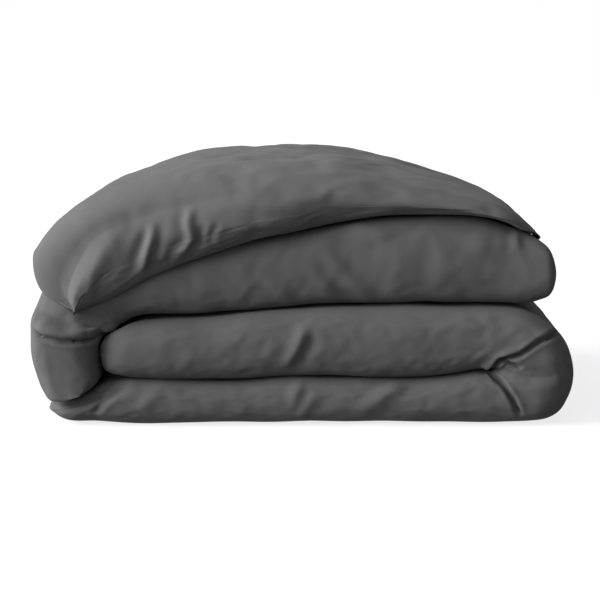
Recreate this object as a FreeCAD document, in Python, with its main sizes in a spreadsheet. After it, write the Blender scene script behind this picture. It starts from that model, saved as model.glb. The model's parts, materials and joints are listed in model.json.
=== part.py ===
"""A double duvet in its cotton cover, folded into a neat stack of four layers.

The duvet is one long padded strip (it is already folded in four along its length). From its hidden
end the strip runs: inner layer, lower right fold, bottom layer, left fold, middle layer, upper right
fold, top flap. Every stretch of the strip holds three nested pieces: the cotton cover outside, the
casing of the duvet inside it, and the wadding in the casing. The left fold is cut at the height of
its hinge, so its lower half stays with the stack's base and its upper half lifts with the middle layer.

X runs to the right along the layers, Y from front to back and Z up. Millimetres, origin under the
middle of the stack, on the surface that it rests on.
"""
import FreeCAD, Part
import math
import os
import Sketcher
from FreeCAD import Vector

DIMENSIONS = (
    # alias, value, meaning
    ("stack_depth", 520, "front to back, all layers"),
    ("middle_front", 245, "front of the middle layer, from the centre plane"),
    ("left_skin", -299, "outer skin of the left fold"),
    ("left_wall", -222, "where the left fold meets the layers"),
    ("inner_end", -208, "free end of the inner layer"),
    ("inner_bend", -20, "where the inner layer's rising top turns level"),
    ("lower_fold_start", 206, "where the layers meet the lower right fold"),
    ("lower_fold_skin", 299, "outer skin of the lower right fold"),
    ("upper_fold_start", 190, "where the middle layer meets the upper right fold"),
    ("upper_fold_skin", 277.5, "outer skin of the upper right fold"),
    ("bottom_top", 51.6, "top of the bottom layer"),
    ("inner_bottom", 52.4, "underside of the inner layer"),
    ("inner_top_left", 97, "top of the inner layer at its free end"),
    ("inner_top", 129, "top of the inner layer where it is level"),
    ("hinge_height", 97, "height at which the left fold hinges"),
    ("hinge_gap", 0.6, "clearance above the hinge plane of the left fold"),
    ("middle_bottom_left", 99, "underside of the middle layer at the left fold"),
    ("middle_bottom", 130.2, "underside of the middle layer where it is level"),
    ("left_fold_top", 181, "top of the left fold at its outer skin"),
    ("middle_top_left", 190, "top of the middle layer at the left fold"),
    ("middle_top_right", 228.6, "top of the middle layer at the upper right fold"),
    ("upper_fold_top", 198, "top of the upper right fold at its outer skin"),
    ("flap_left", -297, "free end of the top flap"),
    ("flap_right", 252, "end of the top flap at the upper right fold"),
    ("flap_bottom_left", 184, "underside of the flap at its free end"),
    ("flap_bottom_crest", 229.6, "underside of the flap where the upper right fold starts"),
    ("flap_bottom_right", 207.9, "underside of the flap at its end on the fold"),
    ("crown_x", -10, "centre of the flap's crown arc, along X"),
    ("crown_z", -210, "centre of the flap's crown arc, height"),
    ("crown_radius", 500, "radius of the flap's crown arc"),
    ("flap_shoulder", 75, "rounding of the flap's front and back shoulders"),
    ("corner_top_left", -293, "upper left of the hanging corner"),
    ("corner_tip_x", -256, "tip of the hanging corner, along X"),
    ("corner_tip_z", 125, "tip of the hanging corner, height"),
    ("corner_hem_x", -140, "bend of the hanging corner's hem, along X"),
    ("corner_hem_z", 172, "bend of the hanging corner's hem, height"),
    ("corner_run_out", -5, "where the hanging hem runs out under the flap"),
    ("corner_thickness", 13.4, "thickness of the hanging corner"),
    ("corner_gap", 0.5, "clearance between hanging corner and flap"),
    ("layer_round", 24, "rounding of a layer's front and back edges"),
    ("end_round", 21, "rounding of the inner layer's free end"),
    ("left_fold_round", 62, "lower rounding of the left fold"),
    ("left_top_round", 26, "upper rounding of the left fold"),
    ("lower_fold_low_round", 45, "lower rounding of the lower right fold"),
    ("lower_fold_high_round", 68, "upper rounding of the lower right fold"),
    ("upper_fold_low_round", 36, "lower rounding of the upper right fold"),
    ("upper_fold_high_round", 24, "upper rounding of the upper right fold"),
    ("corner_round", 6, "rounding of the hanging corner's edges"),
    ("corner_tip_round", 12, "rounding of the hanging corner's tip"),
    ("cover_wall", 1.2, "wall of the cover"),
    ("casing_wall", 0.8, "wall of the duvet's casing"),
    ("slip", 0.3, "clearance between cover, casing and wadding"),
    ("placket_width", 32, "height of the button placket"),
    ("placket_length", 400, "length of the button placket, front to back"),
    ("placket_thickness", 2.4, "thickness of the button placket"),
    ("placket_height", 74, "height of the placket's centre line"),
    ("button_diameter", 11.4, "button"),
    ("button_thickness", 2.6, "button"),
    ("button_rim", 1.2, "width of the button's raised rim"),
    ("button_dish", 0.8, "depth of the button's dish"),
    ("button_hole", 1.6, "sewing hole"),
    ("button_hole_spread", 1.6, "sewing hole's distance from the middle"),
    ("button_pitch", 72, "from button to button, front to back"),
    ("button_row_pitch", 16, "between the two rows of buttons"),
    ("label_width", 24, "care label, front to back"),
    ("label_height", 30, "care label, height"),
    ("label_thickness", 0.4, "care label"),
    ("label_y", 214, "care label, centre from front to back"),
)

BUTTONS_PER_ROW = 4
BUTTON_ROWS = 2
SEWING_HOLES = 4
NEAR = 0.01
MM3_PER_CM3 = 1000

document = FreeCAD.newDocument("folded_duvet")
sheet = document.addObject("Spreadsheet::Sheet", "Dims")
for row, (alias, value, meaning) in enumerate(DIMENSIONS, start=1):
    sheet.set(f"A{row}", str(value))
    sheet.setAlias(f"A{row}", alias)
    sheet.set(f"B{row}", meaning)
document.recompute()

# Depth of each nested surface below the cover's outer face, as sheet expressions.
OUTER = "0 * Dims.slip"
COVER_INSIDE = "Dims.cover_wall"
CASING_OUTSIDE = "Dims.cover_wall + Dims.slip"
CASING_INSIDE = "Dims.cover_wall + Dims.slip + Dims.casing_wall"
WADDING = "Dims.cover_wall + 2 * Dims.slip + Dims.casing_wall"

sub_parts = []


def number(expression):
    """Value of a sheet expression, for a first position or to find an edge."""
    value = document.getObject("Dims").evalExpression(expression)
    return float(value)


def keep(item, label):
    """Give a sub-part its label and hand it to the export."""
    item.Label = label
    item.Placement = FreeCAD.Placement(Vector(0, 0, 0), FreeCAD.Rotation())
    sub_parts.append(item)
    return item


def new_sketch(body, role):
    """Sketch on one of the body's own origin planes."""
    plane = next(item for item in body.Origin.OriginFeatures if item.Role == role)
    sketch = body.newObject("Sketcher::SketchObject", body.Name + "_sketch")
    sketch.AttachmentSupport = [(plane, "")]
    sketch.MapMode = "FlatFace"
    return sketch


def pin(sketch, geometry, vertex, across, up):
    """Tie a sketch point to two sheet expressions."""
    for kind, expression in (("DistanceX", across), ("DistanceY", up)):
        index = sketch.addConstraint(
            Sketcher.Constraint(kind, -1, 1, geometry, vertex, number(expression)))
        sketch.setExpression(f"Constraints[{index}]", expression)


def miters(points):
    """Move of each corner, per millimetre of inset, of a counter-clockwise outline."""
    moves = []
    for index, (x, z) in enumerate(points):
        before = points[index - 1]
        after = points[(index + 1) % len(points)]
        into = Vector(x - before[0], z - before[1], 0).normalize()
        out = Vector(after[0] - x, after[1] - z, 0).normalize()
        left_in = Vector(-into.y, into.x, 0)
        left_out = Vector(-out.y, out.x, 0)
        scale = 1 / (1 + left_in.dot(left_out))
        moves.append(((left_in.x + left_out.x) * scale, (left_in.y + left_out.y) * scale))
    return moves


def inset_outline(outline, inset):
    """Corner expressions of an outline moved inwards by the inset."""
    corners = [(number(across), number(up)) for across, up in outline]
    return [
        (f"({across}) + {move_x:.6f} * ({inset})", f"({up}) + {move_z:.6f} * ({inset})")
        for (across, up), (move_x, move_z) in zip(outline, miters(corners))]


def draw_outline(sketch, outline):
    """Closed outline of straight lines between the corners."""
    corners = [Vector(number(across), number(up), 0) for across, up in outline]
    count = len(corners)
    for index, corner in enumerate(corners):
        sketch.addGeometry(Part.LineSegment(corner, corners[(index + 1) % count]))
    for index, (across, up) in enumerate(outline):
        following = (index + 1) % count
        sketch.addConstraint(Sketcher.Constraint("Coincident", index, 2, following, 1))
        pin(sketch, index, 1, across, up)


def round_edges(body, chosen, radius):
    """Fillet on the chosen edges of the body's tip."""
    base = body.Tip
    names = [f"Edge{index}" for index, edge in enumerate(base.Shape.Edges, start=1) if chosen(edge)]
    if not names:
        raise ValueError(f"{body.Name}: no edge to round")
    fillet = body.newObject("PartDesign::Fillet", body.Name + "_round")
    fillet.Base = (base, names)
    fillet.Radius = number(radius)
    fillet.setExpression("Radius", radius)
    document.recompute()


def pad_sketch(body, sketch, length):
    """Pad to both sides of the sketch plane."""
    pad = body.newObject("PartDesign::Pad", body.Name + "_pad")
    pad.Profile = sketch
    pad.SideType = "Symmetric"
    pad.setExpression("Length", length)
    document.recompute()
    return pad


class Stretch:
    """One stretch of the padded strip, drawn in the XZ plane and padded along Y.

    outline holds the corner expressions, counter-clockwise seen from the front. rounds maps a
    corner's index to its rounding. joints holds the sides that meet a neighbour and stay square,
    each side named by the index of its first corner.
    """

    def __init__(self, name, outline, rounds, joints, depth="Dims.stack_depth",
                 edge="Dims.layer_round", shift="0 * Dims.slip"):
        self.name = name
        self.outline = outline
        self.rounds = rounds
        self.joints = joints
        self.depth = depth
        self.edge = edge
        self.shift = shift

    def solid(self, suffix, inset):
        """Body of the stretch, with every face moved inwards by the inset."""
        body = document.addObject("PartDesign::Body", f"{self.name}_{suffix}")
        sketch = new_sketch(body, "XZ_Plane")
        outline = inset_outline(self.outline, inset)
        draw_outline(sketch, outline)
        depth = f"{self.depth} - 2 * ({inset})"
        pad_sketch(body, sketch, depth)
        corners = [Vector(number(across), 0, number(up)) for across, up in outline]
        self._round_corners(body, corners, inset)
        self._round_front_and_back(body, corners, number(depth) / 2, inset)
        body.setExpression("Placement.Base.y", self.shift)
        document.recompute()
        return body

    def _round_corners(self, body, corners, inset):
        for index, radius in self.rounds.items():
            corner = corners[index]

            def at_corner(edge, corner=corner):
                return all(
                    abs(vertex.X - corner.x) < NEAR and abs(vertex.Z - corner.z) < NEAR
                    for vertex in edge.Vertexes)

            round_edges(body, at_corner, f"{radius} - ({inset})")

    def _round_front_and_back(self, body, corners, half_depth, inset):
        squares = [(corners[side], corners[(side + 1) % len(corners)]) for side in self.joints]

        def on_square(vertex):
            return [
                index for index, (start, end) in enumerate(squares)
                if Part.Vertex(vertex.X, 0, vertex.Z).distToShape(
                    Part.LineSegment(start, end).toShape())[0] < NEAR]

        def on_rim(edge):
            if any(abs(abs(vertex.Y) - half_depth) > NEAR for vertex in edge.Vertexes):
                return False
            first, last = edge.Vertexes[0], edge.Vertexes[-1]
            return first.Y * last.Y > 0 and not set(on_square(first)) & set(on_square(last))

        round_edges(body, on_rim, f"{self.edge} - ({inset})")


class Flap(Stretch):
    """The crowned top flap: an arc along X met by rounded shoulders along Y."""

    def __init__(self, name):
        super().__init__(name, (), {}, ())

    def solid(self, suffix, inset):
        """Common of the crown and the shoulders, both moved inwards by the inset."""
        shapes = [self._crown(suffix, inset), self._shoulders(suffix, inset)]
        common = document.addObject("Part::MultiCommon", f"{self.name}_{suffix}")
        common.Shapes = shapes
        document.recompute()
        return common

    def _underside(self, inset):
        """Corners of the underside, from the free end to the fold, moved inwards by the inset."""
        return [
            (f"Dims.flap_left + {inset}", f"Dims.flap_bottom_left + {inset}"),
            ("Dims.upper_fold_start", f"Dims.flap_bottom_crest + {inset}"),
            (f"Dims.flap_right - ({inset})", f"Dims.flap_bottom_right + {inset}")]

    def _crown(self, suffix, inset):
        body = document.addObject("PartDesign::Body", f"{self.name}_{suffix}_crown")
        sketch = new_sketch(body, "XZ_Plane")
        underside = self._underside(inset)
        radius = f"Dims.crown_radius - ({inset})"
        bottoms = [Vector(number(across), number(up), 0) for across, up in underside]
        centre = Vector(number("Dims.crown_x"), number("Dims.crown_z"), 0)
        crest = centre + Vector(0, number(radius), 0)
        tops = []
        for end in (bottoms[-1], bottoms[0]):
            rise = math.sqrt(number(radius) ** 2 - (end.x - centre.x) ** 2)
            tops.append(Vector(end.x, centre.y + rise, 0))
        spans = len(bottoms) - 1
        for index in range(spans):
            sketch.addGeometry(Part.LineSegment(bottoms[index], bottoms[index + 1]))
        sketch.addGeometry(Part.LineSegment(bottoms[-1], tops[0]))
        sketch.addGeometry(Part.ArcOfCircle(tops[0], crest, tops[1]))
        sketch.addGeometry(Part.LineSegment(tops[1], bottoms[0]))
        right_side, arc, left_side = spans, spans + 1, spans + 2
        for index, (across, up) in enumerate(underside[:-1]):
            pin(sketch, index, 1, across, up)
        pin(sketch, spans - 1, 2, *underside[-1])
        for index in range(left_side + 1):
            following = (index + 1) % (left_side + 1)
            sketch.addConstraint(Sketcher.Constraint("Coincident", index, 2, following, 1))
        for side in (right_side, left_side):
            sketch.addConstraint(Sketcher.Constraint("Vertical", side))
        pin(sketch, arc, 3, "Dims.crown_x", "Dims.crown_z")
        index = sketch.addConstraint(Sketcher.Constraint("Radius", arc, number(radius)))
        sketch.setExpression(f"Constraints[{index}]", radius)
        pad_sketch(body, sketch, f"Dims.stack_depth - 2 * ({inset})")
        return body

    def _shoulders(self, suffix, inset):
        body = document.addObject("PartDesign::Body", f"{self.name}_{suffix}_shoulders")
        sketch = new_sketch(body, "YZ_Plane")
        half = f"Dims.stack_depth / 2 - ({inset})"
        low = "Dims.corner_tip_z"
        high = f"Dims.crown_z + Dims.crown_radius - ({inset})"
        draw_outline(sketch, [(f"-({half})", low), (half, low), (half, high), (f"-({half})", high)])
        pad_sketch(body, sketch, "2 * Dims.lower_fold_skin")
        top = number(high)

        def on_shoulder(edge):
            level = all(abs(vertex.Z - top) < NEAR for vertex in edge.Vertexes)
            return level and abs(edge.Vertexes[0].Y - edge.Vertexes[-1].Y) < NEAR

        round_edges(body, on_shoulder, f"Dims.flap_shoulder - ({inset})")
        return body


def hollow(stretch, piece, outside, inside):
    """Closed skin between two insets of a stretch."""
    name = f"{stretch.name}_{piece}"
    outer_solid = stretch.solid(f"{piece}_outside", outside)
    inner_solid = stretch.solid(f"{piece}_inside", inside)
    cut = document.addObject("Part::Cut", name)
    cut.Base = outer_solid
    cut.Tool = inner_solid
    document.recompute()
    return keep(cut, name)


def padded(stretch):
    """Cover, casing and wadding of one stretch."""
    hollow(stretch, "cover", OUTER, COVER_INSIDE)
    hollow(stretch, "casing", CASING_OUTSIDE, CASING_INSIDE)
    keep(stretch.solid("wadding", WADDING), f"{stretch.name}_wadding")


# --- the strip, from its hidden end ------------------------------------------------------------

INNER_LAYER = Stretch(
    "inner_layer",
    [("Dims.inner_end", "Dims.inner_bottom"),
     ("Dims.lower_fold_start", "Dims.inner_bottom"),
     ("Dims.lower_fold_start", "Dims.inner_top"),
     ("Dims.inner_bend", "Dims.inner_top"),
     ("Dims.inner_end", "Dims.inner_top_left")],
    rounds={0: "Dims.end_round", 4: "Dims.end_round"},
    joints=(1,), edge="Dims.end_round")

LOWER_RIGHT_FOLD = Stretch(
    "lower_right_fold",
    [("Dims.lower_fold_start", OUTER),
     ("Dims.lower_fold_skin", OUTER),
     ("Dims.lower_fold_skin", "Dims.inner_top"),
     ("Dims.lower_fold_start", "Dims.inner_top")],
    rounds={1: "Dims.lower_fold_low_round", 2: "Dims.lower_fold_high_round"},
    joints=(3,))

BOTTOM_LAYER = Stretch(
    "bottom_layer",
    [("Dims.left_wall", OUTER),
     ("Dims.lower_fold_start", OUTER),
     ("Dims.lower_fold_start", "Dims.bottom_top"),
     ("Dims.left_wall", "Dims.bottom_top")],
    rounds={}, joints=(1, 3))

LEFT_FOLD_LOWER = Stretch(
    "left_fold_lower",
    [("Dims.left_skin", OUTER),
     ("Dims.left_wall", OUTER),
     ("Dims.left_wall", "Dims.hinge_height"),
     ("Dims.left_skin", "Dims.hinge_height")],
    rounds={0: "Dims.left_fold_round"}, joints=(1, 2))

# The middle layer starts behind the hanging corner, so it is shallower and sits further back.
MIDDLE_DEPTH = "Dims.stack_depth / 2 + Dims.middle_front"
MIDDLE_SHIFT = "(Dims.stack_depth / 2 - Dims.middle_front) / 2"

LEFT_FOLD_UPPER = Stretch(
    "left_fold_upper",
    [("Dims.left_skin", "Dims.hinge_height + Dims.hinge_gap"),
     ("Dims.left_wall", "Dims.hinge_height + Dims.hinge_gap"),
     ("Dims.left_wall", "Dims.middle_top_left"),
     ("Dims.left_skin", "Dims.left_fold_top")],
    rounds={3: "Dims.left_top_round"}, joints=(0, 1),
    depth=MIDDLE_DEPTH, shift=MIDDLE_SHIFT)

MIDDLE_LAYER = Stretch(
    "middle_layer",
    [("Dims.left_wall", "Dims.middle_bottom_left"),
     ("Dims.inner_bend", "Dims.middle_bottom"),
     ("Dims.upper_fold_start", "Dims.middle_bottom"),
     ("Dims.upper_fold_start", "Dims.middle_top_right"),
     ("Dims.left_wall", "Dims.middle_top_left")],
    rounds={}, joints=(2, 4), depth=MIDDLE_DEPTH, shift=MIDDLE_SHIFT)

UPPER_RIGHT_FOLD = Stretch(
    "upper_right_fold",
    [("Dims.upper_fold_start", "Dims.middle_bottom"),
     ("Dims.upper_fold_skin", "Dims.middle_bottom"),
     ("Dims.upper_fold_skin", "Dims.upper_fold_top"),
     ("Dims.upper_fold_start", "Dims.middle_top_right")],
    rounds={1: "Dims.upper_fold_low_round", 2: "Dims.upper_fold_high_round"},
    joints=(3,), depth=MIDDLE_DEPTH, shift=MIDDLE_SHIFT)

# Height of the flap's underside, less a clearance, at a place along X.
UNDER_FLAP = (
    "Dims.flap_bottom_left - Dims.corner_gap + ({0} - Dims.flap_left)"
    " * (Dims.flap_bottom_crest - Dims.flap_bottom_left) / (Dims.upper_fold_start - Dims.flap_left)")

HANGING_CORNER = Stretch(
    "hanging_corner",
    [("Dims.corner_top_left", UNDER_FLAP.format("Dims.corner_top_left")),
     ("Dims.corner_tip_x", "Dims.corner_tip_z"),
     ("Dims.corner_hem_x", "Dims.corner_hem_z"),
     ("Dims.corner_run_out", UNDER_FLAP.format("Dims.corner_run_out"))],
    rounds={1: "Dims.corner_tip_round"}, joints=(3,),
    depth="Dims.corner_thickness", edge="Dims.corner_round",
    shift="(Dims.corner_thickness - Dims.stack_depth) / 2")

for stretch in (INNER_LAYER, LOWER_RIGHT_FOLD, BOTTOM_LAYER, LEFT_FOLD_LOWER,
                LEFT_FOLD_UPPER, MIDDLE_LAYER, UPPER_RIGHT_FOLD, Flap("top_flap"), HANGING_CORNER):
    padded(stretch)


# --- the cover's opening, at the strip's hidden end ----------------------------------------------

PLACKET_FACE = "Dims.inner_end - Dims.slip - Dims.placket_thickness"


def closure_placket():
    """Doubled band that holds the buttons, flat against the inner layer's free end."""
    box = document.addObject("Part::Box", "closure_placket")
    box.setExpression("Length", "Dims.placket_thickness")
    box.setExpression("Width", "Dims.placket_length")
    box.setExpression("Height", "Dims.placket_width")
    keep(box, "closure_placket")
    box.setExpression("Placement.Base.x", PLACKET_FACE)
    box.setExpression("Placement.Base.y", "-Dims.placket_length / 2")
    box.setExpression("Placement.Base.z", "Dims.placket_height - Dims.placket_width / 2")


def button_shape():
    """Four-hole shirt button about the X axis, its back at X = 0 and its dish towards -X."""
    away = Vector(-1, 0, 0)
    radius = sheet.button_diameter / 2
    thickness = sheet.button_thickness
    blank = Part.makeCylinder(radius, thickness, Vector(), away)
    dish_floor = Vector(sheet.button_dish - thickness, 0, 0)
    blank = blank.cut(Part.makeCylinder(radius - sheet.button_rim, thickness, dish_floor, away))
    for index in range(SEWING_HOLES):
        turn = math.tau * (index + 0.5) / SEWING_HOLES
        place = Vector(0, math.cos(turn), math.sin(turn)) * sheet.button_hole_spread
        blank = blank.cut(Part.makeCylinder(sheet.button_hole / 2, thickness, place, away))
    return blank


def closure_buttons():
    """Buttons in two rows on the placket, one row on each folded ply of the opening."""
    button = button_shape()
    buttons = []
    for row in range(BUTTON_ROWS):
        height = number("Dims.placket_height") + (row - (BUTTON_ROWS - 1) / 2) * sheet.button_row_pitch
        for index in range(BUTTONS_PER_ROW):
            along = (index - (BUTTONS_PER_ROW - 1) / 2) * sheet.button_pitch
            placed = button.copy()
            placed.translate(Vector(number(PLACKET_FACE), along, height))
            buttons.append(placed)
    feature = document.addObject("Part::Feature", "closure_buttons")
    feature.Shape = Part.makeCompound(buttons)
    keep(feature, "closure_buttons")


def care_label():
    """Blank label sewn in beside the opening."""
    box = document.addObject("Part::Box", "care_label")
    box.setExpression("Length", "Dims.label_thickness")
    box.setExpression("Width", "Dims.label_width")
    box.setExpression("Height", "Dims.label_height")
    keep(box, "care_label")
    box.setExpression("Placement.Base.x", "Dims.inner_end - Dims.slip - Dims.label_thickness")
    box.setExpression("Placement.Base.y", "Dims.label_y - Dims.label_width / 2")
    box.setExpression("Placement.Base.z", "Dims.placket_height - Dims.label_height / 2")


closure_placket()
closure_buttons()
care_label()

# --- check and export ----------------------------------------------------------------------------

document.recompute()
for item in document.Objects:
    if "Invalid" in item.State or "Error" in item.State:
        raise RuntimeError(f"{item.Name} failed: {item.State}")
for item in sub_parts:
    if item.Shape.isNull() or not item.Shape.isValid() or item.Shape.Volume <= 0:
        raise RuntimeError(f"{item.Label} has no valid shape")

os.makedirs("parts", exist_ok=True)
for item in sub_parts:
    item.Shape.exportStep(f"parts/{item.Label}.step")
    box = item.Shape.optimalBoundingBox(False)
    print(f"{item.Label:26s} {item.Shape.Volume / MM3_PER_CM3:10.1f} cm3  x {box.XMin:7.1f} {box.XMax:7.1f}"
          f"  y {box.YMin:7.1f} {box.YMax:7.1f}  z {box.ZMin:6.1f} {box.ZMax:6.1f}")
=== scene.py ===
"""Looks of the folded duvet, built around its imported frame.

The duvet is one thick padded strip, folded three times. It is modelled as three padded lengths: the
base (inner layer, lower right fold and bottom layer), the middle layer with the left fold and the
upper right fold, and the top flap. Each length has its cotton cover, the casing inside it and the
wadding inside that.
"""

import json
import logging
import math
from dataclasses import dataclass, field, replace
from enum import Enum

import bmesh
import bpy
import numpy as np
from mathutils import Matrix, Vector
from mathutils.kdtree import KDTree

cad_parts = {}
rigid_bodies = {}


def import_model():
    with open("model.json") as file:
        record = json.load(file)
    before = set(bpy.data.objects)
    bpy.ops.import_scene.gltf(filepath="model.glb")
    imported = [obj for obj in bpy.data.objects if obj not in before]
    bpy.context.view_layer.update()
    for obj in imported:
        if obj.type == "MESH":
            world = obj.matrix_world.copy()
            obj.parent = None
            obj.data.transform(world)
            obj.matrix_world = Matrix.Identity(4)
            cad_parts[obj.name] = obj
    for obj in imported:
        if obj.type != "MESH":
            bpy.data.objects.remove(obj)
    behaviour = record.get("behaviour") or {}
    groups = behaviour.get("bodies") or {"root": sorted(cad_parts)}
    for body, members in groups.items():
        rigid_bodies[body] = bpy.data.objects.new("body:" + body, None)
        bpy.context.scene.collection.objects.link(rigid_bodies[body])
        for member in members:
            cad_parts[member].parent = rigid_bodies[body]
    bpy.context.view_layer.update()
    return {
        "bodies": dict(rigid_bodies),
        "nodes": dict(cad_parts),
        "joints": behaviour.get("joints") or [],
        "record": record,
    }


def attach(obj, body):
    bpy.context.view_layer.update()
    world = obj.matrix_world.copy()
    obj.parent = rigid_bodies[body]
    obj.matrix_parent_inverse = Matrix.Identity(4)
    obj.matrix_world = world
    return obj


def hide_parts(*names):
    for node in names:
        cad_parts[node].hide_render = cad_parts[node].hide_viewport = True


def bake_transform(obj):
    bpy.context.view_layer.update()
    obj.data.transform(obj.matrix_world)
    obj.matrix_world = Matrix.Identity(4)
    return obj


log = logging.getLogger("duvet")

MM = 0.001
VIEW_ELEVATION = math.radians(7.5)
SETTLE_FRAMES = 20
SETTLE_CAP = 0.006
SWELLING_PASSES = 60
SETTLE_DETAIL = 2.3
COARSE_SMOOTHING = 3
END_ROOM = 0.003
FLOOR_SIZE = 12.0
FLOOR_DROP = 0.0006
WELD = 2e-5
SPECK = 1e-6
FILLING_DETAIL = 3.0
CASING_INSET = 0.012
WADDING_INSET = 0.0145
CLOTH_FILL = 0.7
WADDING_FILL = 0.8
BROAD_UNEVENNESS = 0.0009
FINE_UNEVENNESS = 0.0004
LAMP_AIM = (0.0, 0.0, 0.12)


class Side(Enum):
    """Side of the stack that a crease is drawn on: (first axis, second axis, facing axis, sign)."""

    FRONT = (0, 2, 1, -1.0)


class Body(Enum):
    """Rigid bodies of the frame."""

    BASE = "base"
    MIDDLE = "middle"
    FLAP = "flap"


class Slot(Enum):
    """Material slots of the record."""

    COVER = "cover_cotton"
    CASING = "casing_cotton"
    WADDING = "wadding"


@dataclass(frozen=True)
class Crease:
    """A line on the cover where the padding is pulled in, or stands out if its depth is negative.

    The line is in millimetres on the side's two axes. width is the half width of the hollow.
    """

    side: Side
    line: tuple[tuple[float, float], ...]
    depth: float
    width: float
    lip: float = 0.0
    shelf: float = 0.0
    fade: float = 0.35


@dataclass(frozen=True)
class Cotton:
    """Plain-woven cloth: its colour, yarn spacing in metres, and how soft it shines."""

    name: str
    colour: tuple[float, float, float]
    yarn: float
    weave_depth: float
    roughness: float
    sheen: float
    mottle: float = 0.06

    def material(self) -> bpy.types.Material:
        """Make the cloth's material.

        Returns:
            A material whose weave follows the piece's own UV map, in metres.
        """
        material = bpy.data.materials.new(self.name)
        material.use_nodes = True
        tree = material.node_tree
        nodes, links = tree.nodes, tree.links
        shader = nodes["Principled BSDF"]
        shader.inputs["Roughness"].default_value = self.roughness
        shader.inputs["Sheen Weight"].default_value = self.sheen
        shader.inputs["Sheen Roughness"].default_value = 0.45
        shader.inputs["Specular IOR Level"].default_value = 0.12
        coordinates = nodes.new("ShaderNodeTexCoord")
        yarns = []
        for direction, stretch in (("X", (1.0, 0.05, 1.0)), ("Y", (0.05, 1.0, 1.0))):
            wave = nodes.new("ShaderNodeTexWave")
            wave.wave_type = "BANDS"
            wave.bands_direction = direction
            wave.inputs["Scale"].default_value = math.pi / (10.0 * self.yarn)
            wave.inputs["Distortion"].default_value = 0.6
            wave.inputs["Detail"].default_value = 1.0
            links.new(coordinates.outputs["UV"], wave.inputs["Vector"])
            mapping = nodes.new("ShaderNodeMapping")
            mapping.inputs["Scale"].default_value = stretch
            links.new(coordinates.outputs["UV"], mapping.inputs["Vector"])
            slub = nodes.new("ShaderNodeTexNoise")
            slub.inputs["Scale"].default_value = 0.35 / self.yarn
            slub.inputs["Detail"].default_value = 2.0
            links.new(mapping.outputs["Vector"], slub.inputs["Vector"])
            yarns.append((wave, slub))
        weave = nodes.new("ShaderNodeMath")
        weave.operation = "MAXIMUM"
        links.new(yarns[0][0].outputs["Fac"], weave.inputs[0])
        links.new(yarns[1][0].outputs["Fac"], weave.inputs[1])
        slubs = nodes.new("ShaderNodeMath")
        slubs.operation = "ADD"
        links.new(yarns[0][1].outputs["Fac"], slubs.inputs[0])
        links.new(yarns[1][1].outputs["Fac"], slubs.inputs[1])
        cloud = nodes.new("ShaderNodeTexNoise")
        cloud.inputs["Scale"].default_value = 7.0
        cloud.inputs["Detail"].default_value = 3.0
        links.new(coordinates.outputs["Object"], cloud.inputs["Vector"])
        shade = self._sum(tree, ((slubs, self.mottle), (cloud, 1.2 * self.mottle), (weave, 0.05)))
        colour = nodes.new("ShaderNodeMix")
        colour.data_type = "RGBA"
        colour.inputs["A"].default_value = tuple(0.72 * part for part in self.colour) + (1.0,)
        colour.inputs["B"].default_value = tuple(1.22 * part for part in self.colour) + (1.0,)
        links.new(shade.outputs[0], colour.inputs["Factor"])
        links.new(colour.outputs["Result"], shader.inputs["Base Color"])
        height = self._sum(tree, ((weave, 0.5), (slubs, 0.5)), middle=0.0)
        bump = nodes.new("ShaderNodeBump")
        bump.inputs["Strength"].default_value = 0.35
        bump.inputs["Distance"].default_value = self.weave_depth
        links.new(height.outputs[0], bump.inputs["Height"])
        links.new(bump.outputs["Normal"], shader.inputs["Normal"])
        return material

    @staticmethod
    def _sum(tree: bpy.types.NodeTree, parts: tuple, middle: float = 0.5) -> bpy.types.Node:
        """Weighted sum of scalar outputs about a middle value.

        Args:
            tree: The material's nodes.
            parts: Pairs of node and weight.
            middle: Value that the sum has where every part is at its own middle.

        Returns:
            The last node of the sum.
        """
        total = None
        for node, weight in parts:
            scaled = tree.nodes.new("ShaderNodeMath")
            scaled.operation = "MULTIPLY_ADD"
            tree.links.new(node.outputs[0], scaled.inputs[0])
            scaled.inputs[1].default_value = weight * (2.0 if middle else 1.0)
            if total is None:
                whole = sum(share for _, share in parts)
                scaled.inputs[2].default_value = middle - (whole if middle else 0.0)
            else:
                tree.links.new(total.outputs[0], scaled.inputs[2])
            total = scaled
        return total


@dataclass(frozen=True)
class Moulded:
    """Moulded button plastic, clouded."""

    name: str
    colour: tuple[float, float, float]

    def material(self) -> bpy.types.Material:
        """Make the plastic's material.

        Returns:
            A glossy material with clouding.
        """
        material = bpy.data.materials.new(self.name)
        material.use_nodes = True
        tree = material.node_tree
        shader = tree.nodes["Principled BSDF"]
        shader.inputs["Specular IOR Level"].default_value = 0.5
        coordinates = tree.nodes.new("ShaderNodeTexCoord")
        cloud = tree.nodes.new("ShaderNodeTexNoise")
        cloud.inputs["Scale"].default_value = 260.0
        cloud.inputs["Detail"].default_value = 4.0
        tree.links.new(coordinates.outputs["Object"], cloud.inputs["Vector"])
        ramp = tree.nodes.new("ShaderNodeValToRGB")
        ramp.color_ramp.elements[0].color = tuple(0.6 * part for part in self.colour) + (1.0,)
        ramp.color_ramp.elements[1].color = tuple(1.5 * part for part in self.colour) + (1.0,)
        tree.links.new(cloud.outputs["Fac"], ramp.inputs["Fac"])
        tree.links.new(ramp.outputs["Color"], shader.inputs["Base Color"])
        rough = tree.nodes.new("ShaderNodeMapRange")
        rough.inputs["To Min"].default_value = 0.22
        rough.inputs["To Max"].default_value = 0.42
        tree.links.new(cloud.outputs["Fac"], rough.inputs["Value"])
        tree.links.new(rough.outputs["Result"], shader.inputs["Roughness"])
        return material


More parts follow.
